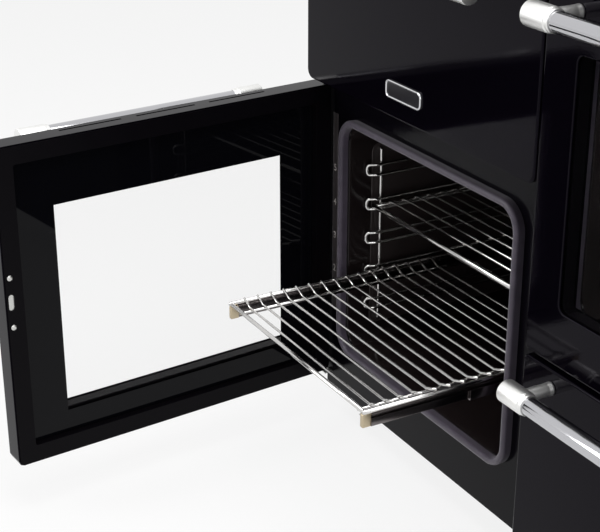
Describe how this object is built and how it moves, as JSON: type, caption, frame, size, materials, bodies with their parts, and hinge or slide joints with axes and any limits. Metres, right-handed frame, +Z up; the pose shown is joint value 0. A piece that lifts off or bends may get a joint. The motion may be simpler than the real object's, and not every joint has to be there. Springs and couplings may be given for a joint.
{
  "type": "range cooker with double oven",
  "caption": "Wide black range cooker with a side-opening main oven and telescopic wire shelf, a grill over it, a tall second oven over a storage drawer, and a gas hob.",
  "frame": {"origin": "on the floor, under the middle of the 1000 mm wide and 600 mm deep body", "axes": "+X to the right as seen by the cook, +Y to the back wall, +Z up"},
  "size_m": [1.0843, 1.132, 0.944],
  "materials": {
    "black_enamel": "gloss vitreous enamel",
    "frame_enamel": "gloss enamel",
    "liner_black": "satin black",
    "cavity_enamel": "gloss brown-black enamel",
    "chrome_wire": "bright chrome",
    "rail_steel": "dark bronze chrome",
    "bar_chrome": "polished",
    "clear_glass": "clear",
    "black_glass": "black-bordered",
    "seal": "soft matte",
    "cast_iron": "matt enamelled",
    "burner_alloy": "cast",
    "cap_enamel": "matt enamel",
    "galvanised": "galvanised sheet",
    "zinc_parts": "zinc plated",
    "screw_steel": "bright",
    "element_steel": "heat tinted",
    "copper_pipe": "drawn tube",
    "clock_glass": "gloss",
    "knob_metal": "satin chrome",
    "terminal_plastic": "matt",
    "hob_steel": "gloss enamel"
  },
  "bodies": {
    "cooker": {"base_tray": "galvanised", "feet": "zinc_parts", "side_panels": "black_enamel", "centre_partition": "galvanised", "back_panel": "galvanised", "front_frame": "frame_enamel", "door_hinges": "zinc_parts", "control_panel": "black_enamel", "clock": "clock_glass", "taps_and_switches": "burner_alloy", "gas_pipe": "copper_pipe", "terminal_box": "terminal_plastic", "hob_top": "hob_steel", "burner_heads": "burner_alloy", "burner_caps": "cap_enamel", "pan_supports": "cast_iron", "main_oven_cavity": "cavity_enamel", "oven_seals": "seal", "grill_cavity": "cavity_enamel", "fan_cover": "cavity_enamel", "fan_motor": "zinc_parts", "ring_element": "element_steel", "side_racks": "chrome_wire", "shelf_rails_fixed": "rail_steel", "second_oven_cavity": "cavity_enamel", "roof_elements": "element_steel", "drawer_runners": "zinc_parts"},
    "main_door": {"main_door_skin": "black_enamel", "main_door_window": "clear_glass", "main_door_liner": "liner_black", "main_door_inner_glass": "black_glass", "main_door_catch": "screw_steel", "main_door_handle": "bar_chrome"},
    "grill_door": {"grill_door_skin": "black_enamel", "grill_door_liner": "liner_black", "grill_door_handle": "bar_chrome", "door_plate": "bar_chrome"},
    "grill_pan": {"grill_pan": "cavity_enamel"},
    "rail_middles": {"shelf_rails_middle": "rail_steel"},
    "drawn_shelf": {"shelf_rails_top": "rail_steel", "pull_out_shelf": "chrome_wire"},
    "upper_shelf": {"upper_shelf": "chrome_wire"},
    "fan": {"oven_fan": "zinc_parts"},
    "second_door": {"second_door_skin": "black_enamel", "second_door_window": "clear_glass", "second_door_liner": "liner_black", "second_door_inner_glass": "black_glass", "second_door_handle": "bar_chrome"},
    "second_shelf": {"second_oven_shelf": "chrome_wire"},
    "drawer": {"drawer_front": "black_enamel", "drawer_box": "galvanised", "drawer_handle": "bar_chrome"},
    "knob_1": {"knob_1": "knob_metal"},
    "knob_2": {"knob_2": "knob_metal"},
    "knob_3": {"knob_3": "knob_metal"},
    "knob_4": {"knob_4": "knob_metal"},
    "knob_5": {"knob_5": "knob_metal"},
    "knob_6": {"knob_6": "knob_metal"},
    "knob_7": {"knob_7": "knob_metal"},
    "knob_8": {"knob_8": "knob_metal"}
  },
  "joints": [
    {"name": "main_door_hinge", "type": "hinge", "parent": "cooker", "child": "main_door", "pos_m": [-0.493, -0.268, 0.311], "axis": [0, 0, -1], "range_deg": [-85, 25]},
    {"name": "rail_middle_slide", "type": "slide", "parent": "cooker", "child": "rail_middles", "axis": [0, -1, 0], "range_m": [-0.14883, 0.04384]},
    {"name": "drawn_shelf_slide", "type": "slide", "parent": "rail_middles", "child": "drawn_shelf", "axis": [0, -1, 0], "range_m": [-0.14883, 0.04384]},
    {"name": "upper_shelf_slide", "type": "slide", "parent": "cooker", "child": "upper_shelf", "axis": [0, -1, 0], "range_m": [0, 0.2]},
    {"name": "fan_spin", "type": "hinge", "parent": "cooker", "child": "fan", "pos_m": [-0.2375, 0.23, 0.32], "axis": [0, 1, 0], "continuous": true},
    {"name": "grill_door_hinge", "type": "hinge", "parent": "cooker", "child": "grill_door", "pos_m": [-0.493, -0.268, 0.6835], "axis": [0, 0, -1], "range_deg": [0, 110]},
    {"name": "grill_pan_slide", "type": "slide", "parent": "cooker", "child": "grill_pan", "axis": [0, -1, 0], "range_m": [0, 0.1205]},
    {"name": "second_door_hinge", "type": "hinge", "parent": "cooker", "child": "second_door", "pos_m": [0.493, -0.268, 0.5795], "axis": [0, 0, 1], "range_deg": [0, 110]},
    {"name": "second_shelf_slide", "type": "slide", "parent": "cooker", "child": "second_shelf", "axis": [0, -1, 0], "range_m": [0, 0.1205]},
    {"name": "drawer_slide", "type": "slide", "parent": "cooker", "child": "drawer", "axis": [0, -1, 0], "range_m": [0, 0.35]},
    {"name": "knob_1_turn", "type": "hinge", "parent": "cooker", "child": "knob_1", "pos_m": [-0.44, -0.3, 0.849], "axis": [0, -1, 0], "range_deg": [0, 210]},
    {"name": "knob_2_turn", "type": "hinge", "parent": "cooker", "child": "knob_2", "pos_m": [-0.35, -0.3, 0.849], "axis": [0, -1, 0], "range_deg": [0, 210]},
    {"name": "knob_3_turn", "type": "hinge", "parent": "cooker", "child": "knob_3", "pos_m": [-0.26, -0.3, 0.849], "axis": [0, -1, 0], "range_deg": [0, 210]},
    {"name": "knob_4_turn", "type": "hinge", "parent": "cooker", "child": "knob_4", "pos_m": [-0.17, -0.3, 0.849], "axis": [0, -1, 0], "range_deg": [0, 210]},
    {"name": "knob_5_turn", "type": "hinge", "parent": "cooker", "child": "knob_5", "pos_m": [0.17, -0.3, 0.849], "axis": [0, -1, 0], "range_deg": [0, 210]},
    {"name": "knob_6_turn", "type": "hinge", "parent": "cooker", "child": "knob_6", "pos_m": [0.26, -0.3, 0.849], "axis": [0, -1, 0], "range_deg": [0, 270]},
    {"name": "knob_7_turn", "type": "hinge", "parent": "cooker", "child": "knob_7", "pos_m": [0.35, -0.3, 0.849], "axis": [0, -1, 0], "range_deg": [0, 270]},
    {"name": "knob_8_turn", "type": "hinge", "parent": "cooker", "child": "knob_8", "pos_m": [0.44, -0.3, 0.849], "axis": [0, -1, 0], "range_deg": [0, 270]}
  ],
  "couplings": [
    {"joint": "rail_middle_slide", "follows": "main_door_hinge", "m_per_rad": 0.10025},
    {"joint": "drawn_shelf_slide", "follows": "main_door_hinge", "m_per_rad": 0.10025},
    {"joint": "second_shelf_slide", "follows": "second_door_hinge", "m_per_rad": 0.062504},
    {"joint": "grill_pan_slide", "follows": "grill_door_hinge", "m_per_rad": 0.062504}
  ]
}
